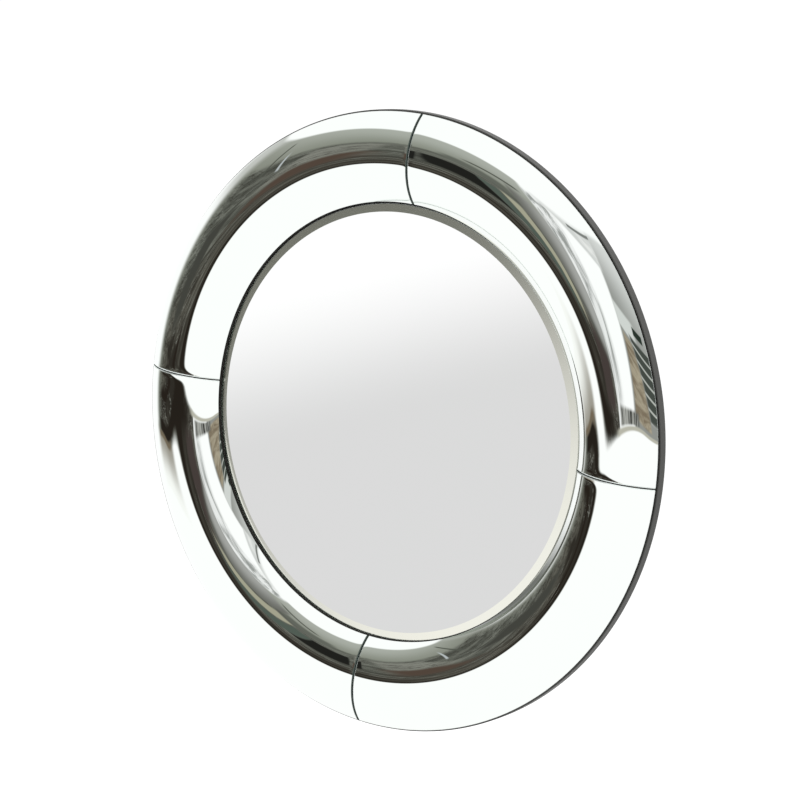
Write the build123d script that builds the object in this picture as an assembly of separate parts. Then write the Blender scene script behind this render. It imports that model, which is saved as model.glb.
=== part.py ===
from build123d import *
import os
from math import cos, hypot, radians, sin, sqrt

# A round wall mirror with a bulging frame of four curved mirror-glass quarter rings, in millimetres.
# The origin is where the mirror's axis meets the wall, on which the four rubber bumpers rest. +Z is
# up, +Y points into the wall and the mirror looks along -Y. Every piece is drawn from the back
# board's rear face, with heights h measured forward from it, so that height h is y = -h, and is moved
# off the wall by the bumpers' thickness when it is written.
# Angles go round the mirror from +X (the viewer's right) through +Z (the top).

# ---- driving dimensions ----
OUTER_R = 500.0
BAND_T = 3.0
BAND_H = 15.0
BAND_SEAM = 0.4
BOARD_T = 8.0

GLASS_T = 4.0
GLASS_OUTER_R = 498.0
GLASS_OUTER_H = 18.8
GLASS_INNER_R = 353.5
GLASS_INNER_H = 16.9
GLASS_RISE = 29.6
GLASS_JOINT_GAP = 2.0
GLASS_ARRIS = 0.6

MIRROR_R = 352.4
MIRROR_FLAT_R = 339.0
MIRROR_T = 5.0
MIRROR_EDGE_T = 3.0
MIRROR_DROP = 1.0
TAPE_T = 1.0

OUTER_LEDGE_W = 27.0
INNER_LEDGE_R = 354.0
INNER_LEDGE_W = 20.0
INNER_LEDGE_TOP = 13.2

FORMER_GAP = 2.0
JOINT_FORMER_T = 24.0
SEGMENT_FORMER_T = 15.0
PAD_T = 0.9
PAD_SLACK = 0.1
BED_W = 6.0
JOINT_ANGLES = {"right": 0, "top": 90, "left": 180, "bottom": 270}
SEGMENT_ANGLES = {"upper_right": 45, "upper_left": 135, "lower_left": 225, "lower_right": 315}
SEGMENT_FORMER_OFFSET = 16.0

SCREW_R = 2.0
SCREW_FIT = 0.05
SCREW_HEAD_R = 3.9
COUNTERSINK_H = 2.2
PAN_HEAD_H = 2.3
PAN_CORNER_H = 1.1
PAN_CROWN_R = 2.8
SCREW_POINT = 3.0
DRIVE_L = 4.4
DRIVE_W = 0.9
DRIVE_DEPTH = 1.2
LEDGE_SCREW_L = 12.0
FORMER_SCREW_L = 28.0
HANGER_SCREW_L = 19.0
BUMPER_SCREW_L = 14.0
OUTER_LEDGE_SCREWS = 16
INNER_LEDGE_SCREWS = 12
FORMER_SCREW_RADII = (396.0, 450.0)

HANGER_X = 303.0
HANGER_Z = 322.0
BLOCK_W = 38.0
BLOCK_L = 72.0
BLOCK_T = 18.0
STRAP_W = 16.0
STRAP_L = 58.0
STRAP_T = 1.5
STRAP_FOOT_R = 5.0
STRAP_HOLE_R = 2.2
STRAP_HOLES = (31.0, 47.0)
WIRE_R = 1.75
EYE_R = 2.1
RING_W = 25.0
RING_L = 22.0
RING_TOP_BEND = 4.0
RING_BOW_BEND = 12.2

BUMPER_R = 12.0
BUMPER_TIP_R = 10.8
BUMPER_T = 8.0
BUMPER_SEAT = 4.0
BUMPER_COUNTERBORE_R = 4.6
BUMPER_CIRCLE_R = 483.0

TAPE_W = 25.0
TAPE_PITCH = 110.0
TAPE_COUNT = 5
TAPE_MARGIN = 40.0
DAB_R = 20.0
DAB_ROWS = (-150.0, 0.0, 150.0)

# ---- worked out from them ----
BOARD_R = OUTER_R - BAND_T
OUTER_LEDGE_R = BOARD_R - OUTER_LEDGE_W
LEDGE_SCREW_R = BOARD_R - OUTER_LEDGE_W / 2
INNER_SCREW_R = INNER_LEDGE_R + INNER_LEDGE_W / 2
FORMER_INNER_R = INNER_LEDGE_R + INNER_LEDGE_W + FORMER_GAP
FORMER_OUTER_R = OUTER_LEDGE_R - FORMER_GAP
MIRROR_BACK = BOARD_T + TAPE_T
PIVOT_Y = STRAP_T + EYE_R
EYE_OUTER_R = EYE_R + STRAP_T

# The curved glass is an arc in section. Its centre lies behind the middle of the chord.
CHORD_R = GLASS_OUTER_R - GLASS_INNER_R
CHORD_H = GLASS_OUTER_H - GLASS_INNER_H
CHORD = hypot(CHORD_R, CHORD_H)
ARC_R = (CHORD**2 / 4 + GLASS_RISE**2) / (2 * GLASS_RISE)
ARC_BACK = ARC_R - GLASS_RISE
CENTRE_R = (GLASS_OUTER_R + GLASS_INNER_R) / 2 + ARC_BACK * CHORD_H / CHORD
CENTRE_H = (GLASS_OUTER_H + GLASS_INNER_H) / 2 - ARC_BACK * CHORD_R / CHORD
UNDER_ARC_R = ARC_R - GLASS_T
PAD_ARC_R = UNDER_ARC_R - PAD_SLACK
FORMER_ARC_R = PAD_ARC_R - PAD_T
EDGE_SHARE = UNDER_ARC_R / ARC_R
UNDER_INNER_R = CENTRE_R + (GLASS_INNER_R - CENTRE_R) * EDGE_SHARE
UNDER_OUTER_R = CENTRE_R + (GLASS_OUTER_R - CENTRE_R) * EDGE_SHARE


def height_on_arc(arc_radius, r):
    """Height of an arc about the glass's arc centre at radius r from the mirror's middle."""
    return CENTRE_H + sqrt(arc_radius**2 - (r - CENTRE_R) ** 2)


def section_point(r, h):
    """A point of a section through the mirror's axis, as r along +X and h forward along -Y."""
    return (r, -h)


def arc_between(arc_radius, r_start, r_end):
    """The piece of an arc about the glass's arc centre, from one radius to another."""
    r_middle = (r_start + r_end) / 2
    radii = (r_start, r_middle, r_end)
    return ThreePointArc(*[section_point(r, height_on_arc(arc_radius, r)) for r in radii])


def section(*corners):
    """A straight-sided section from (r, h) corners."""
    points = [section_point(r, h) for r, h in corners]
    return make_face(Polyline(*points, close=True))


def spin(face):
    """A whole ring or disc from a section."""
    return revolve(face, Axis.Y, 360)


def turned(shape, angle):
    """The shape turned round the mirror's axis, from +X towards +Z."""
    return Rot(0, -angle, 0) * shape


def disc(radius, h_low, h_high):
    """A disc about the mirror's axis, between two heights."""
    return spin(section((0, h_low), (radius, h_low), (radius, h_high), (0, h_high)))


def ring(r_in, r_out, h_low, h_high):
    """A flat ring about the mirror's axis, between two heights."""
    return spin(section((r_in, h_low), (r_out, h_low), (r_out, h_high), (r_in, h_high)))


def between_arcs(outer_radius, inner_radius, r_low, r_high):
    """A section between two arcs about the glass's arc centre, cut off at two radii."""
    top = arc_between(outer_radius, r_low, r_high)
    bottom = arc_between(inner_radius, r_high, r_low)
    return make_face([top, Line(top @ 1, bottom @ 0), bottom, Line(bottom @ 1, top @ 0)])


def plank(face, thickness):
    """A section in the plane of the mirror's axis and +X, made a plank of this thickness."""
    return extrude(face, thickness / 2, both=True)


# ---- screws: each starts at the origin, with its shank along -Y ----
def screw_shank(length, extra=0.0):
    """A pointed shank, or the hole for one where extra is the room round it."""
    side_r = SCREW_R + extra
    side_h = length - SCREW_POINT
    return spin(section((0, 0), (side_r, 0), (side_r, side_h), (0, length + extra)))


def drive_cross(top):
    """The cross-shaped drive recess, cut forward from the head's face at y = top."""
    slot = Pos(0, top - DRIVE_DEPTH / 2, 0) * Box(DRIVE_L, DRIVE_DEPTH, DRIVE_W)
    return slot + Rot(0, 90, 0) * slot


def countersunk_blank(length, extra=0.0):
    """A countersunk screw with no drive recess, flush with y = 0, grown by extra for its hole."""
    head_h = COUNTERSINK_H + extra
    head = section((0, 0), (SCREW_HEAD_R + extra, 0), (SCREW_R + extra, head_h), (0, head_h))
    return spin(head) + screw_shank(length, extra)


def countersunk_screw(length):
    """A countersunk screw with its cross recess."""
    return countersunk_blank(length) - drive_cross(0)


def pan_screw(length):
    """A pan-head screw: the underside of its head is on y = 0 and its head is towards +Y."""
    side = [(0, 0), (SCREW_HEAD_R, 0), (SCREW_HEAD_R, -PAN_CORNER_H)]
    crown = [(PAN_CROWN_R, -PAN_HEAD_H), (0, -PAN_HEAD_H)]
    return spin(section(*side, *crown)) + screw_shank(length) - drive_cross(PAN_HEAD_H)


def pan_hole(length):
    """The pilot hole for a pan-head screw."""
    return screw_shank(length, SCREW_FIT)


# ---- where the screws and fittings go ----
def around(radius, count, start):
    """Places on a circle, evenly spaced, starting at an angle."""
    angles = [radians(start + 360 * k / count) for k in range(count)]
    return [Pos(radius * cos(a), 0, radius * sin(a)) for a in angles]


def former_angles():
    """Every former's angle: those at the joints, then two in each segment."""
    offsets = (-SEGMENT_FORMER_OFFSET, SEGMENT_FORMER_OFFSET)
    between = [middle + offset for middle in SEGMENT_ANGLES.values() for offset in offsets]
    return list(JOINT_ANGLES.values()) + between


def outer_screw_places():
    return around(LEDGE_SCREW_R, OUTER_LEDGE_SCREWS, 180 / OUTER_LEDGE_SCREWS)


def inner_screw_places():
    return around(INNER_SCREW_R, INNER_LEDGE_SCREWS, 180 / INNER_LEDGE_SCREWS)


def former_screw_places():
    polar = [(r, radians(angle)) for angle in former_angles() for r in FORMER_SCREW_RADII]
    return [Pos(r * cos(a), 0, r * sin(a)) for r, a in polar]


def bumper_places():
    polar = [radians(angle) for angle in SEGMENT_ANGLES.values()]
    return [Pos(BUMPER_CIRCLE_R * cos(a), 0, BUMPER_CIRCLE_R * sin(a)) for a in polar]


def strap_screw_places(side):
    return [Pos(side * HANGER_X, 0, HANGER_Z - hole) for hole in STRAP_HOLES]


def bored(shape, places, cutter):
    """The shape with the cutter taken out at every place."""
    return shape - [place * cutter for place in places]


# ---- board, ledges and edge band ----
def back_board():
    board = disc(BOARD_R, 0, BOARD_T)
    ledge_places = outer_screw_places() + inner_screw_places()
    board = bored(board, ledge_places, countersunk_blank(LEDGE_SCREW_L, SCREW_FIT))
    board = bored(board, former_screw_places(), countersunk_blank(FORMER_SCREW_L, SCREW_FIT))
    board = bored(board, bumper_places(), pan_hole(BUMPER_SCREW_L))
    return bored(board, strap_screw_places(-1) + strap_screw_places(1), pan_hole(HANGER_SCREW_L))


def edge_band():
    """A bent strip round the edge, butted at the bottom."""
    seam = Pos(0, -BAND_H / 2, -OUTER_R) * Box(BAND_SEAM, 2 * BAND_H, 4 * BAND_T)
    return ring(BOARD_R, OUTER_R, 0, BAND_H) - seam


def outer_ledge_ring():
    ledge = ring(OUTER_LEDGE_R, BOARD_R, BOARD_T, BAND_H)
    ledge = bored(ledge, outer_screw_places(), countersunk_blank(LEDGE_SCREW_L, SCREW_FIT))
    return bored(ledge, bumper_places(), pan_hole(BUMPER_SCREW_L))


def inner_ledge_ring():
    ledge = ring(INNER_LEDGE_R, INNER_LEDGE_R + INNER_LEDGE_W, BOARD_T, INNER_LEDGE_TOP)
    return bored(ledge, inner_screw_places(), countersunk_blank(LEDGE_SCREW_L, SCREW_FIT))


# ---- formers that carry the curved glass ----
def former(thickness):
    """An arched plank across the ring at +X, with its screws' pilot holes."""
    top = arc_between(FORMER_ARC_R, FORMER_INNER_R, FORMER_OUTER_R)
    inner_foot = section_point(FORMER_INNER_R, BOARD_T)
    outer_foot = section_point(FORMER_OUTER_R, BOARD_T)
    sides = Polyline(top @ 1, outer_foot, inner_foot, top @ 0)
    arch = make_face([top, sides])
    holes = [Pos(r, 0, 0) for r in FORMER_SCREW_RADII]
    return bored(plank(arch, thickness), holes, countersunk_blank(FORMER_SCREW_L, SCREW_FIT))


def former_pad(thickness):
    """The soft strip on a former's arch."""
    strip = between_arcs(PAD_ARC_R, FORMER_ARC_R, FORMER_INNER_R, FORMER_OUTER_R)
    return plank(strip, thickness)


def pair_in_segment(piece, middle):
    """Two copies of a piece at +X, one each side of a segment's middle."""
    return [turned(piece, middle + side * SEGMENT_FORMER_OFFSET) for side in (-1, 1)]


# ---- curved glass and its beds ----
def curved_glass_ring():
    """The whole bulging ring. Its long edges are cut square to the glass and arrissed."""
    front = arc_between(ARC_R, GLASS_INNER_R, GLASS_OUTER_R)
    back = arc_between(UNDER_ARC_R, UNDER_OUTER_R, UNDER_INNER_R)
    face = make_face([front, Line(front @ 1, back @ 0), back, Line(back @ 1, front @ 0)])
    return spin(chamfer(face.vertices(), GLASS_ARRIS))


def curved_glass_segments():
    """The ring cut into quarters with parallel gaps, named by where they lie."""
    reach = 3 * OUTER_R
    cross = Box(reach, reach, GLASS_JOINT_GAP) + Box(GLASS_JOINT_GAP, reach, reach)
    quarters = (curved_glass_ring() - cross).solids()
    named = {}
    for name, angle in SEGMENT_ANGLES.items():
        right = cos(radians(angle)) > 0
        up = sin(radians(angle)) > 0
        found = [s for s in quarters if (s.center().X > 0) == right and (s.center().Z > 0) == up]
        named[name] = found[0]
    return named


def bed(r_edge, r_inside, h_ledge):
    """A bead between a ledge and the curved glass: from under the glass's edge to further inside."""
    low = [(r_inside, h_ledge), (r_edge, h_ledge)]
    high = [(r, height_on_arc(PAD_ARC_R, r)) for r in (r_edge, r_inside)]
    return spin(section(*low, *high))


def glass_bed_outer():
    return bed(UNDER_OUTER_R - GLASS_ARRIS, UNDER_OUTER_R - BED_W, BAND_H)


def glass_bed_inner():
    return bed(UNDER_INNER_R + GLASS_ARRIS, UNDER_INNER_R + BED_W, INNER_LEDGE_TOP)


# ---- centre mirror ----
def centre_mirror():
    """The flat disc with its wide ground bevel, resting low in its recess."""
    front = MIRROR_BACK + MIRROR_T
    edge = MIRROR_BACK + MIRROR_EDGE_T
    back = [(0, MIRROR_BACK), (MIRROR_R, MIRROR_BACK)]
    face = [(MIRROR_R, edge), (MIRROR_FLAT_R, front), (0, front)]
    return Pos(0, 0, -MIRROR_DROP) * spin(section(*back, *face))


def tape_columns():
    middle = (TAPE_COUNT - 1) / 2
    return [(k - middle) * TAPE_PITCH for k in range(TAPE_COUNT)]


def mirror_tape_strips():
    """Upright strips of double-sided foam tape."""
    strips = []
    for x in tape_columns():
        half = sqrt((MIRROR_FLAT_R - TAPE_MARGIN) ** 2 - x**2)
        strips.append(Pos(x, -BOARD_T - TAPE_T / 2, 0) * Box(TAPE_W, TAPE_T, 2 * half))
    return strips


def mirror_adhesive_dabs():
    """Flattened dabs of mirror adhesive between the strips."""
    columns = [x + TAPE_PITCH / 2 for x in tape_columns()[:-1]]
    dab = disc(DAB_R, BOARD_T, MIRROR_BACK)
    return [Pos(x, 0, z) * dab for x in columns for z in DAB_ROWS]


# ---- hangers ----
def hanger_block(side):
    middle_z = HANGER_Z - (STRAP_L - EYE_OUTER_R) / 2
    block = Pos(side * HANGER_X, -BOARD_T - BLOCK_T / 2, middle_z) * Box(BLOCK_W, BLOCK_T, BLOCK_L)
    return bored(block, strap_screw_places(side), pan_hole(HANGER_SCREW_L))


def hanger_strap(side):
    """A steel strap lying on the board, with a rolled eye at its top for the ring's bar."""
    plate = Pos(0, STRAP_T / 2, -STRAP_L / 2) * Box(STRAP_W, STRAP_T, STRAP_L)
    foot = plate.edges().filter_by(Axis.Y).group_by(Axis.Z)[0]
    plate = fillet(foot, STRAP_FOOT_R)
    across = Pos(0, PIVOT_Y, 0) * Rot(0, 90, 0)
    strap = plate + across * Cylinder(EYE_OUTER_R, STRAP_W) - across * Cylinder(EYE_R, STRAP_W)
    hole = disc(STRAP_HOLE_R, -STRAP_T, 0)
    strap = bored(strap, [Pos(0, 0, -drop) for drop in STRAP_HOLES], hole)
    return Pos(side * HANGER_X, 0, HANGER_Z) * strap


def hanger_ring(side):
    """A closed D of round wire, hanging from its straight bar."""
    half = RING_W / 2
    corners = [(half, 0), (half, -RING_L), (-half, -RING_L), (-half, 0)]
    line = FilletPolyline(
        *[(x, 0, z) for x, z in corners],
        radius=[RING_TOP_BEND, RING_BOW_BEND, RING_BOW_BEND, RING_TOP_BEND],
        close=True,
    )
    start = Plane(origin=line @ 0, z_dir=line % 0)
    wire = sweep(start * Circle(WIRE_R), path=line)
    return Pos(side * HANGER_X, PIVOT_Y, HANGER_Z) * wire


def hanger_screws(side):
    screw = pan_screw(HANGER_SCREW_L)
    return [place * Pos(0, STRAP_T, 0) * screw for place in strap_screw_places(side)]


# ---- wall bumpers ----
def wall_bumper(place):
    """A round rubber foot with a counterbored screw hole."""
    foot = section((0, 0), (BUMPER_R, 0), (BUMPER_TIP_R, -BUMPER_T), (0, -BUMPER_T))
    shank_hole = disc(SCREW_R + SCREW_FIT, -BUMPER_SEAT, 0)
    counterbore = disc(BUMPER_COUNTERBORE_R, -BUMPER_T, -BUMPER_SEAT)
    return place * (spin(foot) - shank_hole - counterbore)


def bumper_screws():
    screw = Pos(0, BUMPER_SEAT, 0) * pan_screw(BUMPER_SCREW_L + BUMPER_SEAT)
    return [place * screw for place in bumper_places()]


# ---- everything together ----
def sub_parts():
    """Every node's name with its solid, or its list of solids."""
    ledge_screw = countersunk_screw(LEDGE_SCREW_L)
    former_screw = countersunk_screw(FORMER_SCREW_L)
    parts = {
        "back_board": back_board(),
        "edge_band": edge_band(),
        "outer_ledge_ring": outer_ledge_ring(),
        "inner_ledge_ring": inner_ledge_ring(),
        "glass_bed_outer": glass_bed_outer(),
        "glass_bed_inner": glass_bed_inner(),
        "centre_mirror": centre_mirror(),
        "mirror_tape_strips": mirror_tape_strips(),
        "mirror_adhesive_dabs": mirror_adhesive_dabs(),
        "ledge_screws_outer": [place * ledge_screw for place in outer_screw_places()],
        "ledge_screws_inner": [place * ledge_screw for place in inner_screw_places()],
        "former_screws": [place * former_screw for place in former_screw_places()],
        "bumper_screws": bumper_screws(),
    }
    for name, angle in JOINT_ANGLES.items():
        parts[f"joint_former_{name}"] = turned(former(JOINT_FORMER_T), angle)
        parts[f"joint_pad_{name}"] = turned(former_pad(JOINT_FORMER_T), angle)
    for name, quarter in curved_glass_segments().items():
        parts[f"curved_glass_{name}"] = quarter
    for (name, angle), place in zip(SEGMENT_ANGLES.items(), bumper_places()):
        parts[f"segment_formers_{name}"] = pair_in_segment(former(SEGMENT_FORMER_T), angle)
        parts[f"segment_pads_{name}"] = pair_in_segment(former_pad(SEGMENT_FORMER_T), angle)
        parts[f"wall_bumper_{name}"] = wall_bumper(place)
    for name, side in (("left", -1), ("right", 1)):
        parts[f"hanger_block_{name}"] = hanger_block(side)
        parts[f"hanger_strap_{name}"] = hanger_strap(side)
        parts[f"hanger_ring_{name}"] = hanger_ring(side)
        parts[f"hanger_screws_{name}"] = hanger_screws(side)
    return parts


def main():
    os.makedirs("parts", exist_ok=True)
    off_the_wall = Pos(0, -BUMPER_T, 0)
    for name, shape in sub_parts().items():
        pieces = shape if isinstance(shape, list) else [shape]
        solids = [off_the_wall * solid for piece in pieces for solid in piece.solids()]
        export_step(Compound(children=solids), f"parts/{name}.step")


main()
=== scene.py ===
from math import asin, cos, exp, hypot, pi, radians, sin

import bpy
from mathutils import Matrix, Vector


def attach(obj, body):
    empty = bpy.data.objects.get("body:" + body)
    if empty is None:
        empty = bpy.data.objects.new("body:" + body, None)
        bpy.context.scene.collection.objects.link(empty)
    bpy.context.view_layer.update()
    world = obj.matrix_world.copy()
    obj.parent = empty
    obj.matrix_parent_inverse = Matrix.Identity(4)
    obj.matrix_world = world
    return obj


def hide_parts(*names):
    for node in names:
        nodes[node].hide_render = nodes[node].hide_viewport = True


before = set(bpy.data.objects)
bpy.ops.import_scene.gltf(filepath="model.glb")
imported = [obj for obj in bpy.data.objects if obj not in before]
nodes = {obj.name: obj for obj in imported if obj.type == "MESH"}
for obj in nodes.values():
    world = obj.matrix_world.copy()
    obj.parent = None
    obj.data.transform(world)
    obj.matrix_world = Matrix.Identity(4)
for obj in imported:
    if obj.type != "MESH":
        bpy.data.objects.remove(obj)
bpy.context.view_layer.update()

# A round wall mirror in metres: +Z is up, +Y points into the wall and the mirror looks along -Y.
# As in the CAD, a section is drawn as (r, h): r from the mirror's axis, and h forward from the back
# board's rear face. Angles go round from +X (the viewer's right) through +Z (the top).

# ---- sizes, which repeat the CAD's driving dimensions ----
# GLASS_RISE is 0.05 mm and OUTER_R 0.1 mm under the CAD's, to stay inside its faceted box.
BOARD_OFF_WALL = 0.008
GLASS_T = 0.004
GLASS_OUTER_R = 0.498
GLASS_OUTER_H = 0.0188
GLASS_INNER_R = 0.3535
GLASS_INNER_H = 0.0169
GLASS_RISE = 0.02955
GLASS_GAP = 0.002
GLASS_ARRIS = 0.0006
MIRROR_R = 0.3524
MIRROR_FLAT_R = 0.339
MIRROR_BACK = 0.009
MIRROR_T = 0.005
MIRROR_EDGE_T = 0.003
MIRROR_DROP = 0.001
OUTER_R = 0.4999
BAND_T = 0.003
BAND_H = 0.015

# ---- sizes of what only the visual pieces have ----
# The ground arris at a quarter's end, how far the ends turn up and how fast that fades.
END_ARRIS_W = 0.0015
END_ARRIS_T = 0.001
END_CURL = 0.0005
END_CURL_W = 0.004
# The bright lip outside the centre mirror's bevel: its width, and how far its inner side is above
# the height of the CAD's edge and its outer side below that.
SILVER_LIP = 0.0011
LIP_INNER_UP = SILVER_LIP / 6
LIP_OUTER_DOWN = SILVER_LIP / 2
BAND_SEAM = 0.0004
BAND_ROUND = 0.0007

HALF_QUARTER = 45
# Each quarter's middle angle in degrees, and whether the arrises at its start and its end get the
# bright arris glass or the dark edge glass. This is painted light and shade, not a difference in
# polish: at the top and bottom joints the end that faces the camera, on the viewer's right, is
# painted dark and the other end is painted bright.
QUARTERS = {
    "upper_right": (45, (True, True)),
    "upper_left": (135, (False, True)),
    "lower_left": (225, (True, False)),
    "lower_right": (315, (True, True)),
}

# ---- the camera ----
CAMERA_TURN = radians(34.701)
CAMERA_RISE = radians(11.284)
CAMERA_ROLL = radians(6.015)
CAMERA_DISTANCE = 4.7648
CAMERA_ASIDE = 0.0054
CAMERA_ABOVE = 0.0352
CAMERA_LENS = 133.62
CAMERA_SENSOR = 36.0

scene = bpy.context.scene


# ---- node trees: arithmetic on sockets ----
class Wire:
    """An output in a node tree that can be calculated with as if it were a number."""

    def __init__(self, tree, socket):
        self.tree = tree
        self.socket = socket

    def math(self, operation, *others):
        made = self.tree.nodes.new("ShaderNodeMath")
        made.operation = operation
        for place, value in zip(made.inputs, (self, *others)):
            feed(self.tree, place, value)
        return Wire(self.tree, made.outputs[0])

    def __add__(self, other):
        return self.math("ADD", other)

    def __sub__(self, other):
        return self.math("SUBTRACT", other)

    def __mul__(self, other):
        return self.math("MULTIPLY", other)

    def __neg__(self):
        return self.math("MULTIPLY", -1.0)

    __radd__ = __add__
    __rmul__ = __mul__

    def rise(self, start, end):
        """0 up to start and 1 from end, smooth in between."""
        made = self.tree.nodes.new("ShaderNodeMapRange")
        made.interpolation_type = "SMOOTHSTEP"
        for name, value in (("Value", self), ("From Min", start), ("From Max", end)):
            feed(self.tree, made.inputs[name], value)
        return Wire(self.tree, made.outputs[0])

    def fall(self, start, end):
        """1 up to start and 0 from end, smooth in between."""
        return 1.0 + -self.rise(start, end)

    def between(self, low, high, low_soft, high_soft):
        """1 between low and high, with soft edges centred on them."""
        rising = self.rise(low - low_soft / 2, low + low_soft / 2)
        return rising * self.fall(high - high_soft / 2, high + high_soft / 2)


def feed(tree, socket, value):
    """Links a wire to a socket, or sets a constant on it."""
    if isinstance(value, Wire):
        tree.links.new(value.socket, socket)
    elif isinstance(value, bpy.types.NodeSocket):
        tree.links.new(value, socket)
    else:
        socket.default_value = value


def add(tree, kind, inputs, **settings):
    """A new shader node with its settings made and its inputs set or linked."""
    made = tree.nodes.new("ShaderNode" + kind)
    for name, value in settings.items():
        setattr(made, name, value)
    for name, value in inputs.items():
        feed(tree, made.inputs[name], value)
    return made


def linear(level):
    """A display level from 0 to 1 as the linear value that shows as it."""
    return level / 12.92 if level <= 0.04045 else ((level + 0.055) / 1.055) ** 2.4


def colour(red, green=None, blue=None):
    """A linear colour from display levels, or a neutral one from a single level."""
    levels = (red, red, red) if green is None else (red, green, blue)
    return (*[linear(level) for level in levels], 1.0)


def mixed(tree, first, second, share):
    """The first colour where share is 0 and the second where it is 1."""
    made = tree.nodes.new("ShaderNodeMix")
    made.data_type = "RGBA"
    feed(tree, made.inputs[0], share)
    feed(tree, made.inputs[6], first)
    feed(tree, made.inputs[7], second)
    return Wire(tree, made.outputs[2])


def noise(tree, where, scale, detail=3.0, roughness=0.5, distortion=0.0):
    """Smooth noise from 0 to 1 at points given by a vector."""
    inputs = {
        "Vector": where,
        "Scale": scale,
        "Detail": detail,
        "Roughness": roughness,
        "Distortion": distortion,
    }
    return Wire(tree, add(tree, "TexNoise", inputs).outputs[0])


def stretched(tree, where, scale):
    """The vector scaled by a different amount along each axis."""
    return add(tree, "Mapping", {"Vector": where, "Scale": scale}).outputs[0]


# ---- materials ----
def principled(name):
    """A new material: its tree, its Principled shader and its object coordinates."""
    material = bpy.data.materials.new(name)
    material.use_nodes = True
    tree = material.node_tree
    shader = tree.nodes["Principled BSDF"]
    where = tree.nodes.new("ShaderNodeTexCoord").outputs["Object"]
    return material, tree, shader, where


def bump(tree, shader, height, distance, strength=1.0):
    """Roughens the shader's normal by a height that runs from 0 to 1 over a distance."""
    inputs = {"Height": height, "Distance": distance, "Strength": strength}
    feed(tree, shader.inputs["Normal"], add(tree, "Bump", inputs).outputs[0])


def silvered_glass(name, tint, tint_far, roughness):
    """Back-silvered glass: a clean mirror whose tint drifts a little from place to place."""
    material, tree, shader, where = principled(name)
    drift = noise(tree, where, 3.0, 2.0).rise(0.3, 0.7)
    feed(tree, shader.inputs["Base Color"], mixed(tree, tint, tint_far, drift))
    shader.inputs["Metallic"].default_value = 1.0
    shader.inputs["Roughness"].default_value = roughness
    return material


def ground_glass(name, tone, tone_far, roughness, metallic, specular=0.5):
    """A ground glass edge given a fine polish, with fine grinding lines."""
    material, tree, shader, where = principled(name)
    grain = noise(tree, where, 900.0, 2.0)
    feed(tree, shader.inputs["Base Color"], mixed(tree, tone, tone_far, grain.rise(0.35, 0.65)))
    shader.inputs["Metallic"].default_value = metallic
    shader.inputs["Roughness"].default_value = roughness
    shader.inputs["Specular IOR Level"].default_value = specular
    bump(tree, shader, grain, 0.00001, 0.3)
    return material


def mirror_backing():
    """The grey lacquer that protects the silver on the back of the glass."""
    material, tree, shader, where = principled("mirror_backing")
    mottle = noise(tree, where, 60.0, 4.0)
    base = mixed(tree, colour(0.36, 0.37, 0.38), colour(0.42, 0.42, 0.42), mottle)
    feed(tree, shader.inputs["Base Color"], base)
    shader.inputs["Roughness"].default_value = 0.6
    bump(tree, shader, mottle, 0.0001)
    return material


def satin_paint():
    """Dark grey satin lacquer, with orange peel and a few paler rubs."""
    material, tree, shader, where = principled("satin_paint")
    peel = noise(tree, where, 420.0, 2.0)
    drift = noise(tree, where, 9.0, 3.0).rise(0.3, 0.75)
    rubs = noise(tree, where, 55.0, 6.0, 0.65).rise(0.68, 0.8)
    base = mixed(tree, colour(0.235, 0.235, 0.225), colour(0.27, 0.27, 0.258), drift)
    rubbed = mixed(tree, base, colour(0.34, 0.34, 0.33), rubs * 0.5)
    feed(tree, shader.inputs["Base Color"], rubbed)
    feed(tree, shader.inputs["Roughness"], 0.4 + drift * 0.12)
    bump(tree, shader, peel, 0.00012, 0.6)
    return material


def painted_board():
    """Matt black roller paint on fibreboard, with dust and pale scuffs."""
    material, tree, shader, where = principled("painted_board")
    stipple = noise(tree, where, 650.0, 3.0)
    dust = noise(tree, where, 5.0, 5.0, 0.6).rise(0.4, 0.8)
    scuffs = noise(tree, stretched(tree, where, (2.0, 2.0, 22.0)), 5.0, 6.0, 0.7).rise(0.68, 0.76)
    base = mixed(tree, colour(0.125, 0.125, 0.122), colour(0.2, 0.197, 0.185), dust)
    scuffed = mixed(tree, base, colour(0.32, 0.3, 0.27), scuffs * 0.55)
    feed(tree, shader.inputs["Base Color"], scuffed)
    feed(tree, shader.inputs["Roughness"], 0.62 + dust * 0.2)
    bump(tree, shader, stipple, 0.00025, 0.7)
    return material


def stained_board():
    """Fibreboard stained black, with its fibres showing."""
    material, tree, shader, where = principled("stained_board")
    fibres = noise(tree, where, 800.0, 5.0, 0.7)
    shown = fibres.rise(0.35, 0.75)
    base = mixed(tree, colour(0.19, 0.186, 0.176), colour(0.25, 0.242, 0.225), shown)
    feed(tree, shader.inputs["Base Color"], base)
    shader.inputs["Roughness"].default_value = 0.9
    shader.inputs["Specular IOR Level"].default_value = 0.15
    bump(tree, shader, fibres, 0.00004)
    return material


def birch_plywood():
    """Sawn birch plywood: pale plies across the depth, with grain along them."""
    material, tree, shader, where = principled("birch_plywood")
    depth = Wire(tree, add(tree, "SeparateXYZ", {"Vector": where}).outputs["Y"])
    wander = noise(tree, where, 40.0, 3.0)
    plies = (depth * (2 * pi / 0.0028) + wander * 0.8).math("SINE").rise(-0.2, 0.5)
    grain = noise(tree, stretched(tree, where, (1.0, 12.0, 1.0)), 90.0, 6.0, 0.7)
    wood = mixed(tree, colour(0.70, 0.57, 0.41), colour(0.85, 0.74, 0.57), grain.rise(0.3, 0.7))
    base = mixed(tree, wood, colour(0.56, 0.42, 0.29), plies * 0.55)
    feed(tree, shader.inputs["Base Color"], base)
    shader.inputs["Roughness"].default_value = 0.72
    bump(tree, shader, grain, 0.0002)
    return material


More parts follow.
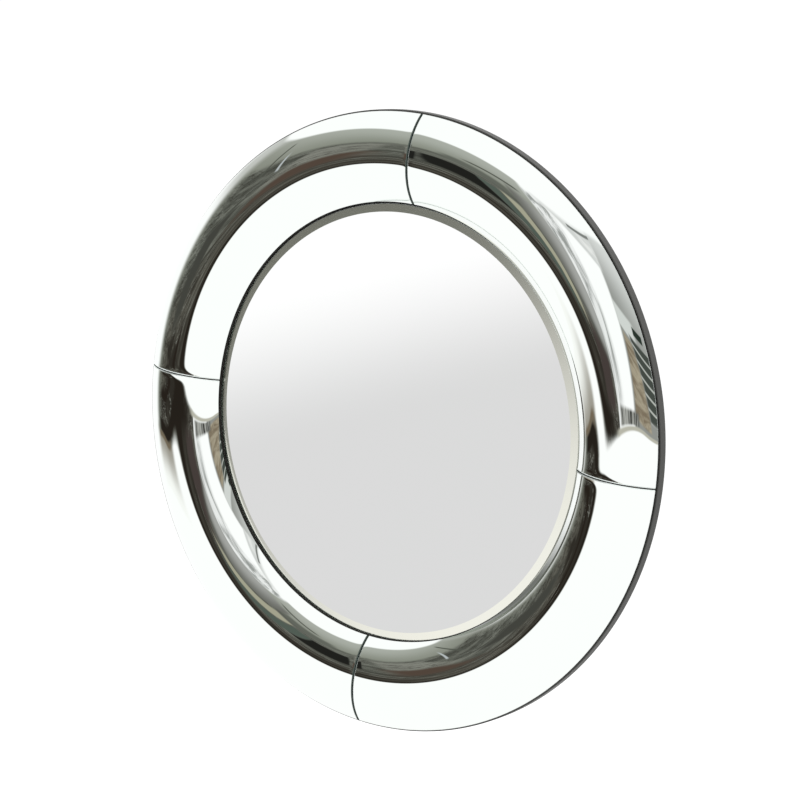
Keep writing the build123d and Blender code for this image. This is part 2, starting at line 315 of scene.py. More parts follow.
def felt():
    """Black wool felt."""
    material, tree, shader, where = principled("felt")
    fibres = noise(tree, where, 1500.0, 6.0, 0.75, 1.5)
    base = mixed(tree, colour(0.07), colour(0.17, 0.168, 0.165), fibres.rise(0.4, 0.75))
    feed(tree, shader.inputs["Base Color"], base)
    shader.inputs["Roughness"].default_value = 0.95
    shader.inputs["Sheen Weight"].default_value = 0.4
    bump(tree, shader, fibres, 0.0004)
    return material


def cured_bead(name, dark, pale, roughness):
    """A cured sealant or adhesive, smoothed by a finger."""
    material, tree, shader, where = principled(name)
    ripple = noise(tree, where, 120.0, 3.0)
    feed(tree, shader.inputs["Base Color"], mixed(tree, dark, pale, ripple.rise(0.3, 0.7)))
    shader.inputs["Roughness"].default_value = roughness
    bump(tree, shader, ripple, 0.0003)
    return material


def foam_tape():
    """White closed-cell foam tape."""
    material, tree, shader, where = principled("foam_tape")
    cells = Wire(tree, add(tree, "TexVoronoi", {"Vector": where, "Scale": 1800.0}).outputs[0])
    base = mixed(tree, colour(0.78, 0.77, 0.75), colour(0.92, 0.92, 0.9), cells.rise(0.1, 0.5))
    feed(tree, shader.inputs["Base Color"], base)
    shader.inputs["Roughness"].default_value = 0.9
    bump(tree, shader, cells, 0.0002)
    return material


def plated_steel(name, tone, tone_far, roughness):
    """Plated steel: cloudy plating over fine drawing lines, duller in patches."""
    material, tree, shader, where = principled(name)
    clouds = noise(tree, where, 160.0, 4.0, 0.6)
    lines = noise(tree, stretched(tree, where, (1.0, 1.0, 14.0)), 700.0, 2.0)
    feed(tree, shader.inputs["Base Color"], mixed(tree, tone, tone_far, clouds.rise(0.3, 0.72)))
    feed(tree, shader.inputs["Roughness"], roughness + clouds * 0.18)
    shader.inputs["Metallic"].default_value = 1.0
    bump(tree, shader, lines, 0.00004, 0.6)
    return material


def moulded_rubber():
    """Black moulded rubber with a fine matt grain and a bloom of dust."""
    material, tree, shader, where = principled("moulded_rubber")
    grain = noise(tree, where, 1100.0, 3.0)
    bloom = noise(tree, where, 70.0, 4.0).rise(0.45, 0.75)
    base = mixed(tree, colour(0.13), colour(0.22, 0.22, 0.215), bloom)
    feed(tree, shader.inputs["Base Color"], base)
    feed(tree, shader.inputs["Roughness"], 0.6 + bloom * 0.25)
    bump(tree, shader, grain, 0.0001)
    return material


RING_SILVER = silvered_glass(
    "ring_silver", (0.922, 0.958, 0.934, 1), (0.93, 0.955, 0.936, 1), 0.0
)
CENTRE_SILVER = silvered_glass(
    "centre_silver", (0.94, 0.945, 0.942, 1), (0.945, 0.945, 0.945, 1), 0.03
)
BEVEL_SILVER = silvered_glass(
    "bevel_silver", (0.93, 0.925, 0.83, 1), (0.93, 0.93, 0.85, 1), 0.12
)
ARRIS_GLASS = ground_glass(
    "arris_glass", colour(0.9, 0.94, 0.92), colour(0.98, 0.99, 0.985), 0.3, 0.85
)
EDGE_GLASS = ground_glass(
    "edge_glass", colour(0.24, 0.28, 0.26), colour(0.3, 0.34, 0.32), 0.5, 0.0, 0.15
)
BACKING = mirror_backing()
SATIN_PAINT = satin_paint()
ZINC = plated_steel("zinc_plate", colour(0.74, 0.75, 0.77), colour(0.86, 0.87, 0.88), 0.24)
YELLOW_ZINC = plated_steel("yellow_zinc", colour(0.8, 0.7, 0.42), colour(0.84, 0.8, 0.62), 0.26)
SEALANT = cured_bead("sealant", colour(0.09), colour(0.14), 0.35)
ADHESIVE = cured_bead("adhesive", colour(0.6, 0.6, 0.57), colour(0.7, 0.7, 0.66), 0.55)

NODE_FINISHES = {
    "back_board": painted_board(),
    "ledge_ring": stained_board(),
    "glass_bed": SEALANT,
    "mirror_tape": foam_tape(),
    "mirror_adhesive": ADHESIVE,
    "ledge_screws": YELLOW_ZINC,
    "former_screws": YELLOW_ZINC,
    "bumper_screws": ZINC,
    "hanger_screws": ZINC,
    "former": birch_plywood(),
    "pad": felt(),
    "hanger_block": birch_plywood(),
    "hanger_strap": ZINC,
    "hanger_ring": ZINC,
    "wall_bumper": moulded_rubber(),
}


def finish_cad_nodes():
    """Gives every CAD node the finish whose key is in its name, the first that fits."""
    for name, obj in nodes.items():
        found = [material for key, material in NODE_FINISHES.items() if key in name]
        if not found:
            continue
        if not obj.material_slots:
            obj.data.materials.append(None)
        for place in obj.material_slots:
            place.material = found[0]


# ---- mesh building ----
def build(name, points, faces, materials, body="root"):
    """A piece from points, and faces of (corners, material number, corner normals or None)."""
    mesh = bpy.data.meshes.new(name)
    mesh.from_pydata(points, [], [corners for corners, _, _ in faces])
    for material in materials:
        mesh.materials.append(material)
    mesh.update()
    normals = []
    for polygon, (corners, material, given) in zip(mesh.polygons, faces):
        polygon.material_index = material
        polygon.use_smooth = True
        flat = tuple(polygon.normal)
        normals += given if given else [flat] * len(corners)
    mesh.normals_split_custom_set(normals)
    obj = bpy.data.objects.new(name, mesh)
    scene.collection.objects.link(obj)
    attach(obj, body)
    return obj


def placed(r, h, angle):
    """A section's point turned to an angle round the mirror."""
    return (r * cos(angle), -h - BOARD_OFF_WALL, r * sin(angle))


def turned_normal(across, forward, angle):
    """A section's normal turned to an angle round the mirror."""
    return (across * cos(angle), -forward, across * sin(angle))


# ---- the curved glass's section ----
CHORD_R = GLASS_OUTER_R - GLASS_INNER_R
CHORD_H = GLASS_OUTER_H - GLASS_INNER_H
CHORD = hypot(CHORD_R, CHORD_H)
ARC_R = (CHORD**2 / 4 + GLASS_RISE**2) / (2 * GLASS_RISE)
ARC_BACK = ARC_R - GLASS_RISE
CENTRE_R = (GLASS_OUTER_R + GLASS_INNER_R) / 2 + ARC_BACK * CHORD_H / CHORD
CENTRE_H = (GLASS_OUTER_H + GLASS_INNER_H) / 2 - ARC_BACK * CHORD_R / CHORD
LEAN_INNER = asin((GLASS_INNER_R - CENTRE_R) / ARC_R)
LEAN_OUTER = asin((GLASS_OUTER_R - CENTRE_R) / ARC_R)
ACROSS_STEPS = 72
ROUND_STEPS = 132
# The share of a quarter's length at each end whose steps are finer, and how many times finer.
END_SHARE = 0.045
END_FINER = 3

# A quarter's materials, and which of them each face round its section has: the front, the outer
# edge's three faces, the back and the inner edge's three.
SILVER, ARRIS, EDGE, LACQUER = range(4)
EDGE_FACES = 3
SECTION = [SILVER] * ACROSS_STEPS + [ARRIS, EDGE, EDGE]
SECTION += [LACQUER] * ACROSS_STEPS + [EDGE] * EDGE_FACES


def on_glass(lean, depth):
    """(r, h) at a lean of the glass's normal away from straight forward, at a depth in the glass."""
    radius = ARC_R - depth
    return CENTRE_R + radius * sin(lean), CENTRE_H + radius * cos(lean)


def glass_normal(side, lean, angle, tilt):
    """The glass's normal, in front (side 1) or behind (side -1), tilted along the ring by a slope."""
    x, y, z = turned_normal(sin(lean), cos(lean), angle)
    tilted = Vector((x - tilt * sin(angle), y, z + tilt * cos(angle))).normalized()
    return tuple(tilted * side)


def leans(start, end):
    """Evenly spaced leans from one edge of the glass to the other."""
    return [start + (end - start) * k / ACROSS_STEPS for k in range(ACROSS_STEPS + 1)]


def glass_loop(trim):
    """The section as a closed loop of (lean, depth), from the inner edge over the front to the outer
    edge and back behind. For the arris at a joint, trim is taken off the front and half of it off
    the back."""
    inset = GLASS_ARRIS / ARC_R
    front = [(lean, trim) for lean in leans(LEAN_INNER + inset, LEAN_OUTER - inset)]
    outer = [(LEAN_OUTER, GLASS_ARRIS), (LEAN_OUTER, GLASS_T - GLASS_ARRIS)]
    back = [(lean, GLASS_T - trim / 2) for lean in leans(LEAN_OUTER - inset, LEAN_INNER + inset)]
    inner = [(LEAN_INNER, GLASS_T - GLASS_ARRIS), (LEAN_INNER, GLASS_ARRIS)]
    return front + outer + back + inner


def end_rise(distance):
    """How far the glass stands up this far from a joint, where it turned up in its mould."""
    return END_CURL * exp(-distance / END_CURL_W)


def round_shares():
    """Places along a quarter from 0 to 1, closer together near its ends."""
    plain = [k / ROUND_STEPS for k in range(ROUND_STEPS + 1)]
    near = [share / END_FINER for share in plain if share < END_SHARE * END_FINER]
    middle = [share for share in plain if END_SHARE <= share <= 1 - END_SHARE]
    return near + middle + [1 - share for share in reversed(near)]


def quarter_stations():
    """(share, gap, trim) along a quarter: its place, its distance from the joint's middle and what
    its arris takes off."""
    tip = (GLASS_GAP / 2, END_ARRIS_T)
    inside = (GLASS_GAP / 2 + END_ARRIS_W, 0.0)
    return [(0.0, *tip), *[(share, *inside) for share in round_shares()], (1.0, *tip)]


def quarter_points(stations, middle):
    """The points of each station's section in turn, and their angles and slopes along the ring."""
    start, end = radians(middle - HALF_QUARTER), radians(middle + HALF_QUARTER)
    points, angles, tilts = [], [], []
    for share, gap, trim in stations:
        for lean, depth in glass_loop(trim):
            r = on_glass(lean, depth)[0]
            slack = asin(gap / r)
            angle = start + slack + (end - start - 2 * slack) * share
            at_start, at_end = end_rise(r * (angle - start)), end_rise(r * (end - angle))
            points.append(placed(*on_glass(lean, depth + END_CURL - at_start - at_end), angle))
            angles.append(angle)
            tilts.append((at_start - at_end) / END_CURL_W)
    return points, angles, tilts


def length_faces(last, painted_bright_ends, angles, tilts):
    """The faces between one station and the next, with exact normals on the curved ones."""
    section_leans = [lean for lean, _ in glass_loop(0.0)]
    count = len(SECTION)
    faces = []
    for row in range(last):
        in_arris = row in (0, last - 1)
        # Painted light and shade: this end's faces take the bright arris glass or the dark edge
        # glass, as QUARTERS sets for its joint.
        end_material = ARRIS if painted_bright_ends[0 if row == 0 else 1] else EDGE
        at_joint = {SILVER: end_material, ARRIS: EDGE}
        for k, material in enumerate(SECTION):
            after = (k + 1) % count
            corners = [(row, k), (row, after), (row + 1, after), (row + 1, k)]
            numbers = [r * count + c for r, c in corners]
            given = None
            if in_arris:
                material = at_joint.get(material, material)
            elif material in (SILVER, LACQUER):
                side = 1 if material == SILVER else -1
                given = [
                    glass_normal(side, section_leans[c], angles[n], tilts[n])
                    for (_, c), n in zip(corners, numbers)
                ]
            faces.append((numbers, material, given))
    return faces


def cap_faces(row, turn):
    """The ground face at one end of a quarter, facing away from it."""
    count = len(SECTION)
    base = row * count
    across = ACROSS_STEPS + EDGE_FACES + ACROSS_STEPS
    rungs = [(base + k, base + across - k) for k in range(ACROSS_STEPS + 1)]
    faces = [([a, b, d, c][::turn], EDGE, None) for (a, b), (c, d) in zip(rungs, rungs[1:])]
    outer = [base + ACROSS_STEPS + k for k in range(EDGE_FACES + 1)]
    inner = [base + (across + k) % count for k in range(EDGE_FACES + 1)]
    return faces + [(outer[::-turn], EDGE, None), (inner[::-turn], EDGE, None)]


def glass_quarter(name, middle, painted_bright_ends):
    """One quarter of the ring, with ground arrises at its ends and along its edges. The arris at each
    end is painted bright or painted dark, as QUARTERS sets for its joint.
    """
    stations = quarter_stations()
    last = len(stations) - 1
    points, angles, tilts = quarter_points(stations, middle)
    faces = length_faces(last, painted_bright_ends, angles, tilts) + cap_faces(0, 1) + cap_faces(last, -1)
    materials = (RING_SILVER, ARRIS_GLASS, EDGE_GLASS, BACKING)
    obj = build(f"curved_mirror_glass_{name}", points, faces, materials)
    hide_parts(f"curved_glass_{name}")


# ---- turned pieces ----
LATHE_STEPS = 360
CORNER_STEPS = 4


def lathe(name, outline, bands, materials, lift=0.0, start=0.0, sweep=2 * pi):
    """A section turned round the mirror's axis. outline has (r, h) corners in order, and bands one
    material number for the face that leads away from each corner. A corner at r = 0 is one point."""
    closed = sweep == 2 * pi
    rows = LATHE_STEPS if closed else LATHE_STEPS + 1
    turns = [start + sweep * row / LATHE_STEPS for row in range(LATHE_STEPS + 1)]
    points, index = [], {}
    for k, (r, h) in enumerate(outline):
        for row in range(rows):
            if r > 0 or row == 0:
                x, y, z = placed(r, h, turns[row])
                points.append((x, y, z + lift))
            index[k, row] = len(points) - 1
    faces = []
    for k, band in enumerate(bands):
        after = (k + 1) % len(outline)
        (r0, h0), (r1, h1) = outline[k], outline[after]
        length = hypot(r1 - r0, h1 - h0)
        across, forward = (h0 - h1) / length, (r1 - r0) / length
        for row in range(LATHE_STEPS):
            corners = {}
            for place, turn in ((k, row), (after, row), (after, row + 1), (k, row + 1)):
                number = index[place, turn % rows]
                corners.setdefault(number, turned_normal(across, forward, turns[turn]))
            faces.append((list(corners), band, list(corners.values())))
    if not closed:
        first = [index[k, 0] for k in range(len(outline))]
        last = [index[k, LATHE_STEPS] for k in range(len(outline))]
        faces += [(first[::-1], bands[0], None), (last, bands[0], None)]
    return build(name, points, faces, materials)


def centre_mirror():
    """The flat disc, with the wide bevel, a ground edge and lacquer behind the silver."""
    front, edge = MIRROR_BACK + MIRROR_T, MIRROR_BACK + MIRROR_EDGE_T
    outline = [
        (0, front),
        (MIRROR_FLAT_R, front),
        (MIRROR_R - SILVER_LIP, edge + LIP_INNER_UP),
        (MIRROR_R, edge - LIP_OUTER_DOWN),
        (MIRROR_R, MIRROR_BACK),
        (0, MIRROR_BACK),
    ]
    materials = (CENTRE_SILVER, BEVEL_SILVER, ARRIS_GLASS, EDGE_GLASS, BACKING)
    obj = lathe(
        "centre_mirror_glass",
        outline,
        (0, 1, 2, 3, 4),
        materials,
        lift=-MIRROR_DROP,
    )
    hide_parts("centre_mirror")


def rounded(corner_r, corner_h, from_angle):
    """Points of a small round corner, a quarter turn about a centre, as (r, h)."""
    turns = [from_angle - pi / 2 * k / CORNER_STEPS for k in range(CORNER_STEPS + 1)]
    return [(corner_r + BAND_ROUND * cos(t), corner_h + BAND_ROUND * sin(t)) for t in turns]


def edge_band():
    """The bent strip round the edge, with softened lips and a butt joint at the bottom."""
    inner_r = OUTER_R - BAND_T
    outline = rounded(inner_r + BAND_ROUND, BAND_H - BAND_ROUND, pi)
    outline += rounded(OUTER_R - BAND_ROUND, BAND_H - BAND_ROUND, pi / 2)
    outline += rounded(OUTER_R - BAND_ROUND, BAND_ROUND, 0)
    outline += [(inner_r, 0)]
    seam = BAND_SEAM / OUTER_R
    obj = lathe(
        "edge_band_paint",
        outline,
        [0] * len(outline),
        (SATIN_PAINT,),
        start=-pi / 2 + seam / 2,
        sweep=2 * pi - seam,
    )
    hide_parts("edge_band")


# ---- the studio ----
# WHITE is over 1 so that it still shows as white in slightly tinted silver.
WHITE = (1.05, 1.05, 1.05, 1)
BACKDROP = (1.0, 1.0, 1.0, 1)
FILL_LIGHT = (0.9, 0.9, 0.9, 1)
ROOM_RADIUS = 5.0
FLOOR_Z = -1.5
FLOOR_REACH = 60.0
FLOOR_GLOW = 0.2

# The direction that the flat mirror shows the camera, in degrees.
FLAT_AZ = -35.0
FLAT_EL = -11.5
SHADE_SLOPE = radians(300)

# The ring's steep rim on the far left shows what lies about square to FLAT_SEES, which is close to
# that same direction. NEARNESS allows for how near the camera is.
NEARNESS = 0.895
FLAT_SEES = (
    -sin(CAMERA_TURN) * cos(CAMERA_RISE) * NEARNESS,
    -cos(CAMERA_TURN) * cos(CAMERA_RISE),
    -sin(CAMERA_RISE) * NEARNESS,
)

# The room that the curved glass shows, in degrees. The sweep's far edge climbs to the right in two
# steps, and the side of the window leans.
SWEEP_LOWEST = -16.6
SWEEP_FIRST_STEP = 4.5
SWEEP_SECOND_STEP = 12.1
WINDOW_TOP = 33.0
JAMB_LEAN = 0.24
BOARD_LEAN = 0.9
SLAT_PITCH = 3.0
SLAT_LEAN = 0.12

# Plain things in the room, each as a tone and the ranges of its measures, which Room names. A range
# is (low, high, softness of the low edge, softness of the high edge).
CUPBOARD = (((0.5, 0.5, 0.47), {"az": (-50, -38, 2, 2), "el": (5, 16, 3, 2)}),)
DIM_ROOM_THINGS = (
    # a dark rail above the sweep's edge, the edge's own shadow and its worn lip
    ((0.155, 0.13, 0.11), {"above": (3.6, 4.8, 0.8, 1.2), "az": (-76, -42, 8, 8)}),
    ((0.15, 0.13, 0.11), {"above": (0.3, 1.7, 0.5, 0.7), "az": (-80, -16, 8, 14)}),
    ((0.46, 0.41, 0.34), {"above": (-0.3, 0.3, 0.5, 0.5), "az": (-84, -56, 8, 8)}),
    # two boxes on the floor
    ((0.27, 0.27, 0.25), {"az": (-66, -53, 4, 3), "el": (-6.5, 4.5, 3, 1.5)}),
    ((0.33, 0.275, 0.24), {"az": (-46, -37, 4, 4), "el": (-2, 6, 4, 3)}),
    # a leaning pole, a pale cable, a beam under the ceiling and a shelf
    ((0.34, 0.35, 0.32), {"pole": (-59.7, -58.3, 0.8, 0.8), "el": (13, 26, 2, 2)}),
    ((0.74, 0.76, 0.77), {"cable": (-42.4, -41.6, 0.5, 0.5), "el": (11, 20, 2, 5)}),
    ((0.35, 0.36, 0.33), {"beam": (31, 32.6, 0.8, 0.8), "az": (-27, -15, 3, 3)}),
    ((0.4, 0.41, 0.38), {"az": (-31, -19, 3, 4), "el": (15.5, 21, 2, 3)}),
    # a doorway, its side and a pale post
    ((0.13, 0.13, 0.12), {"az": (-33.5, -27, 1, 1), "el": (1.0, 12, 1.5, 1)}),
    ((0.33, 0.37, 0.34), {"az": (-27, -24, 0.8, 1), "el": (-5, 12, 3, 2)}),
    ((0.66, 0.65, 0.57), {"az": (-23.4, -20, 0.8, 1), "el": (-3, 13, 2, 2)}),
)
CASE_BY_WINDOW = (((0.28, 0.245, 0.235), {"az": (-20, -7, 3, 4), "above": (2.4, 8.5, 1.6, 3)}),)
LINTEL = (((0.5, 0.51, 0.5), {"az": (7, 25, 1, 1), "lintel": (34.6, 36.0, 0.7, 0.7)}),)
SIGN_PLATE = (((0.17, 0.21, 0.18), {"az": (40, 51, 1, 1), "el": (23.3, 25.6, 0.6, 0.6)}),)
SWEEP_LIP = (((0.74, 0.73, 0.68), {"az": (-6, 60, 8, 4), "above": (-0.2, 0.6, 0.5, 0.5)}),)


class View:
    """A picture painted on directions: az is 0 in front of the mirror and grows to the viewer's
    right, and el is up. Both are in degrees. Each layer goes over what is there."""

    def __init__(self, tree, direction, background):
        split = add(tree, "SeparateXYZ", {"Vector": direction})
        x, y, z = [Wire(tree, part) for part in split.outputs]
        self.tree = tree
        self.direction = direction
        self.az = x.math("ARCTAN2", -y) * (180 / pi)
        self.el = z.math("ARCSINE") * (180 / pi)
        self.picture = background

    def layer(self, tone, *masks):
        """Paints a tone where all of the masks are 1."""
        share = masks[0]
        for mask in masks[1:]:
            share = share * mask
        self.picture = mixed(self.tree, self.picture, tone, share)

    def blots(self, scale, stretch):
        """Soft blots over all directions, stretched by a different amount along each axis."""
        where = stretched(self.tree, self.direction, stretch)
        return noise(self.tree, where, scale, 4.0, 0.6, 0.4)

    def tones(self, first, second, share):
        """One tone where share is 0 and another where it is 1."""
        return mixed(self.tree, colour(*first), colour(*second), share)


class Room(View):
    """The room that the curved glass shows: a white sweep, a dim room beyond its edge, a bright
    window, a wall with a wooden board and a louvre to its right, and a white ceiling."""

    def __init__(self, tree, direction):
        super().__init__(tree, direction, WHITE)
        az, el = self.az, self.el
        self.smears = self.blots(2.4, (1.2, 1.2, 8.0))
        self.posts = self.blots(3.5, (7.0, 7.0, 1.2))
        steps = az.rise(-66, -34) * SWEEP_FIRST_STEP + az.rise(-38, 40) * SWEEP_SECOND_STEP
        self.above = el - (steps + SWEEP_LOWEST)
        self.over_sweep = self.above.rise(-0.4, 0.7)
        self.jamb = az + (el - WINDOW_TOP) * JAMB_LEAN
        self.dim_side = self.jamb.fall(-13.5, -10.5)
        self.measures = {
            "az": az,
            "el": el,
            "above": self.above,
            "pole": az * 1.18 + el,
            "cable": az + el,
            "beam": el - az * 0.3,
            "lintel": el - az * 0.39,
        }

    def things(self, rows):
        """Paints each thing's tone where all of its measures are in range."""
        for tone, ranges in rows:
            masks = [self.measures[name].between(*spread) for name, spread in ranges.items()]
            self.layer(colour(*tone), *masks)

    def paint_far_end(self):
        """The shaded foot of the sweep, and the pale walls behind the dim room."""
        az, el, above = self.az, self.el, self.above
        ceiling = az.rise(-95, -35) * 10.0 + 27.0
        under_ceiling = (ceiling - el).rise(-0.6, 1.4)
        foot = self.tones((1.0, 1.0, 0.99), (0.62, 0.6, 0.56), above.rise(-5, 0))
        self.layer(foot, az.between(-88, -52, 14, 8), above.between(-5.5, 1.0, 1, 1))
        side_wall = az.between(-104, -82, 16, 6)
        self.layer(colour(0.78, 0.785, 0.77), side_wall, el.rise(8, 18), under_ceiling)
        far_wall = self.tones((0.55, 0.56, 0.52), (0.68, 0.69, 0.66), el.rise(17, 34))
        self.layer(far_wall, self.dim_side, az.rise(-94, -80), self.over_sweep, under_ceiling)

    def paint_dim_room(self):
        """Furniture in half light, with streaks and a shadow over it, and the things among it."""
        az, el = self.az, self.el
        below_shelf = (el + (self.smears - 0.5) * 1.6).fall(16.5, 19.5)
        patchy = self.smears.rise(0.36, 0.64)
        furniture = self.tones((0.32, 0.325, 0.3), (0.45, 0.455, 0.425), patchy)
        self.layer(furniture, self.dim_side, az.rise(-90, -72), self.over_sweep, below_shelf)
        self.things(CUPBOARD)
        low = (el + (self.smears - 0.5) * 6.0).fall(-7, 3) * az.rise(-86, -70)
        shadow = self.tones((0.19, 0.175, 0.155), (0.36, 0.35, 0.32), self.smears.rise(0.4, 0.62))
        self.layer(shadow, self.dim_side, self.over_sweep, low)
        streaks = self.blots(5.0, (1.0, 1.0, 9.0))
        inside = az.rise(-88, -74) * self.over_sweep * below_shelf * self.dim_side
        dark_lines = (streaks - 0.47).math("ABSOLUTE").fall(0.0, 0.03) * 0.8
        pale_lines = (streaks - 0.58).math("ABSOLUTE").fall(0.0, 0.02) * 0.55
        self.layer(colour(0.2, 0.19, 0.165), inside, dark_lines)
        self.layer(colour(0.6, 0.6, 0.57), inside, pale_lines)
        self.things(DIM_ROOM_THINGS)
        beside_post = self.tones((0.43, 0.43, 0.41), (0.66, 0.66, 0.65), az.rise(-20, -9))
        self.layer(beside_post, self.dim_side, az.rise(-19.8, -18.4), el.between(1, 24, 5, 6))
        self.things(CASE_BY_WINDOW)

    def paint_window_side(self):
        """The pale columns between the dim room and the window."""
        side_tone = self.tones((0.62, 0.63, 0.62), (0.95, 0.95, 0.95), self.posts.rise(0.35, 0.6))
        light_side = self.jamb.between(-12, -1, 1.5, 6)
        self.layer(side_tone, light_side, self.above.rise(1.5, 5.0), self.el.fall(33, 36))

    def paint_wall(self):
        """The wall right of the window, with its cornice, lintel, board, louvre and plate."""
        az, el = self.az, self.el
        top = az.rise(-10, 40) * 13.0 + 37.0
        wall = az.rise(22, 25) * az.fall(60, 70)
        wall_light = (el + az * 0.3).rise(30, 62)
        wall_tone = self.tones((0.58, 0.585, 0.57), (0.86, 0.865, 0.86), wall_light)
        self.layer(wall_tone, wall, self.over_sweep, (top - el).rise(-1, 2))
        cornice = self.tones((0.93, 0.93, 0.925), (0.84, 0.845, 0.84), self.smears.rise(0.4, 0.6))
        self.layer(cornice, az.between(-9, 25, 2, 3), el.rise(33.5, 35.5), (top - el).rise(-1, 3))
        self.things(LINTEL)
        self.layer(colour(0.84, 0.85, 0.84), wall, el.between(20.5, 26.5, 1, 1.5), az.fall(38, 44))
        board_edge = az + el * BOARD_LEAN
        board = self.tones((0.5, 0.45, 0.38), (0.68, 0.64, 0.56), self.smears.rise(0.38, 0.62))
        self.layer(board, az.rise(24.5, 26.5), board_edge.fall(50, 53), el.between(1.5, 19.5, 1, 1))
        slats = (el * (2 * pi / SLAT_PITCH) + az * SLAT_LEAN).math("SINE").rise(0.6, 0.95)
        louvre = self.tones((0.28, 0.3, 0.28), (0.72, 0.73, 0.71), slats)
        self.layer(louvre, board_edge.rise(51, 54), az.fall(58, 62), el.between(4, 21.5, 1.5, 1))
        self.things(SIGN_PLATE)

    def paint_sweep_edge(self):
        """Clutter along the sweep's far edge under the window, and its pale lip."""
        clutter = self.tones((0.2, 0.2, 0.19), (0.72, 0.72, 0.7), self.posts.rise(0.38, 0.66))
        self.layer(clutter, self.az.between(0, 30, 4, 4), self.above.between(0.8, 3.4, 0.6, 1.0))
        self.things(SWEEP_LIP)

    def paint_outline(self):
        """The grey line that outlines the ring's rim on the far left."""
        inputs = {0: self.direction, 1: FLAT_SEES}
        ahead = add(self.tree, "VectorMath", inputs, operation="DOT_PRODUCT").outputs["Value"]
        behind = Wire(self.tree, ahead).fall(0.035, 0.06)
        self.layer(colour(0.3, 0.32, 0.3), behind, self.az.fall(-66, -58))


def room_picture(tree, direction):
    """The whole room, painted from the back to the front."""
    room = Room(tree, direction)
    room.paint_far_end()
    room.paint_dim_room()
    room.paint_window_side()
    room.paint_wall()
    room.paint_sweep_edge()
    room.paint_outline()
    return room.picture


def sweep_picture(tree, direction):
    """What anything but a perfect mirror shows: a white sweep that is dim round the direction that
    the flat mirror shows the camera, with a bright card there that falls off to light grey. Ahead
    of the mirror the sweep runs down to light grey, for views from the front."""
    view = View(tree, direction, WHITE)
    aside, up = view.az - FLAT_AZ, view.el - FLAT_EL
    along = aside * cos(SHADE_SLOPE) + up * sin(SHADE_SLOPE)
    shade = mixed(tree, colour(0.46, 0.465, 0.45), colour(0.975), along.rise(-14, 19))
    apart = (aside * aside + up * up).math("SQRT")
    up_left = up.rise(2, 14) * aside.fall(-12, 2) * apart.fall(50, 75)
    near = apart.fall(20, 29).math("MAXIMUM", up_left)
    falloff = (up - aside * 0.36).rise(-0.2, 3.1)
    card = mixed(tree, (0.748, 0.748, 0.748, 1), (1.08, 1.08, 1.08, 1), falloff)
    inside = aside.between(-8, 8, 4, 4) * up.between(-8, 8, 4, 4)
    ahead = mixed(tree, colour(0.85), WHITE, (up - aside * 0.12).rise(-6, 17))
    sweep = mixed(tree, WHITE, ahead, aside.rise(22, 32))
    return mixed(tree, mixed(tree, sweep, shade, near), card, inside)


def studio_world():
    """Plain white to the camera, a little less to matt surfaces, and the sweep in reflections."""
    world = bpy.data.worlds.new("studio")
    scene.world = world
    world.use_nodes = True
    world.cycles.sampling_method = "NONE"
    tree = world.node_tree
    direction = tree.nodes.new("ShaderNodeTexCoord").outputs["Generated"]
    rays = tree.nodes.new("ShaderNodeLightPath").outputs
    soft = sweep_picture(tree, direction)
    plain = mixed(tree, BACKDROP, FILL_LIGHT, Wire(tree, rays["Is Diffuse Ray"]))
    shown = mixed(tree, plain, soft, Wire(tree, rays["Is Glossy Ray"]))
    feed(tree, tree.nodes["Background"].inputs["Color"], shown)


def studio_room():
    """A large shell that only perfect mirrors see, with the room painted on its inside."""
    bpy.ops.mesh.primitive_uv_sphere_add(segments=96, ring_count=48, radius=ROOM_RADIUS)
    shell = bpy.context.object
    shell.name = "studio_room"
    material = bpy.data.materials.new("studio_room")
    material.use_nodes = True
    material.cycles.emission_sampling = "NONE"
    tree = material.node_tree
    tree.nodes.clear()
    place = tree.nodes.new("ShaderNodeNewGeometry").outputs["Position"]
    direction = add(tree, "VectorMath", {0: place}, operation="NORMALIZE").outputs[0]
    light = add(tree, "Emission", {"Color": room_picture(tree, direction)}).outputs[0]
    clear = tree.nodes.new("ShaderNodeBsdfTransparent").outputs[0]
    sharp = tree.nodes.new("ShaderNodeLightPath").outputs["Is Singular Ray"]
    shown = add(tree, "MixShader", {0: sharp, 1: clear, 2: light}).outputs[0]
    output = tree.nodes.new("ShaderNodeOutputMaterial")
    tree.links.new(shown, output.inputs["Surface"])
    shell.data.materials.append(material)
    shell.visible_camera = False
    shell.visible_diffuse = False
    shell.visible_transmission = False
    shell.visible_volume_scatter = False
    shell.visible_shadow = False


def soft_lamp(name, place, size, power):
    """A large square area lamp aimed at the mirror, which reflections don't show."""
    lamp = bpy.data.lights.new(name, "AREA")
    lamp.size = size
    lamp.energy = power
    obj = bpy.data.objects.new(name, lamp)
    obj.location = place
    obj.rotation_euler = Vector(place).to_track_quat("Z", "Y").to_euler()
    obj.visible_glossy = False
    scene.collection.objects.link(obj)


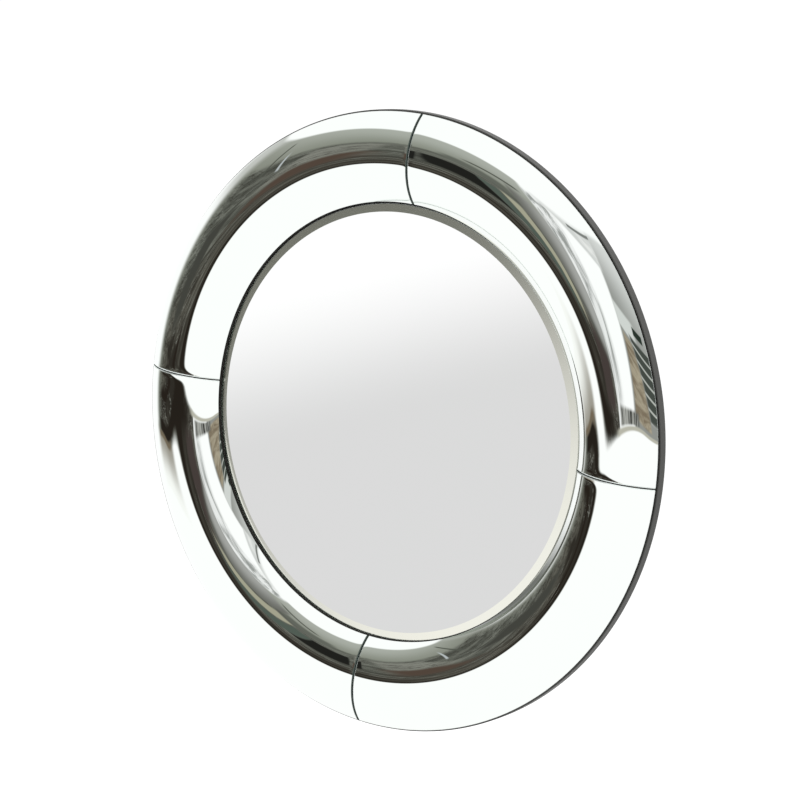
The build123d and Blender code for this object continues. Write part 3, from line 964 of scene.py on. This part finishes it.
def pale_floor():
    """A wide pale floor below the mirror that glows a little, so that it meets the backdrop with no
    edge."""
    reach = FLOOR_REACH
    corners = [(-reach, -reach), (reach, -reach), (reach, reach), (-reach, reach)]
    mesh = bpy.data.meshes.new("floor")
    mesh.from_pydata([(x, y, FLOOR_Z) for x, y in corners], [], [(0, 1, 2, 3)])
    material, tree, shader, where = principled("pale_floor")
    mottle = noise(tree, where, 6.0, 4.0)
    feed(tree, shader.inputs["Base Color"], mixed(tree, colour(0.975), colour(0.985), mottle))
    shader.inputs["Roughness"].default_value = 0.9
    shader.inputs["Specular IOR Level"].default_value = 0.0
    shader.inputs["Emission Color"].default_value = (1, 1, 1, 1)
    shader.inputs["Emission Strength"].default_value = FLOOR_GLOW
    mesh.materials.append(material)
    obj = bpy.data.objects.new("floor", mesh)
    obj.visible_glossy = False
    scene.collection.objects.link(obj)


def photo_camera():
    """The camera, turned to the right of the mirror, a little above it and slightly rolled."""
    turn, rise = CAMERA_TURN, CAMERA_RISE
    back = Vector((sin(turn) * cos(rise), -cos(turn) * cos(rise), sin(rise)))
    level = Vector((cos(turn), sin(turn), 0))
    upright = back.cross(level)
    right = level * cos(CAMERA_ROLL) + upright * sin(CAMERA_ROLL)
    up = upright * cos(CAMERA_ROLL) - level * sin(CAMERA_ROLL)
    aim = Vector((0, -BOARD_OFF_WALL, 0)) + right * CAMERA_ASIDE + up * CAMERA_ABOVE
    lens = bpy.data.cameras.new("camera")
    lens.lens = CAMERA_LENS
    lens.sensor_width = CAMERA_SENSOR
    lens.clip_end = 200.0
    camera = bpy.data.objects.new("camera", lens)
    rotation = Matrix((right, up, back)).transposed().to_4x4()
    camera.matrix_world = Matrix.Translation(aim + back * CAMERA_DISTANCE) @ rotation
    scene.collection.objects.link(camera)
    scene.camera = camera


def main():
    scene.view_settings.view_transform = "Standard"
    for name, (middle, painted_bright_ends) in QUARTERS.items():
        glass_quarter(name, middle, painted_bright_ends)
    centre_mirror()
    edge_band()
    finish_cad_nodes()
    studio_world()
    studio_room()
    soft_lamp("key_lamp", (-1.8, -2.6, 2.4), 2.0, 60)
    soft_lamp("back_lamp", (1.6, 2.8, 1.8), 2.0, 50)
    pale_floor()
    photo_camera()


main()
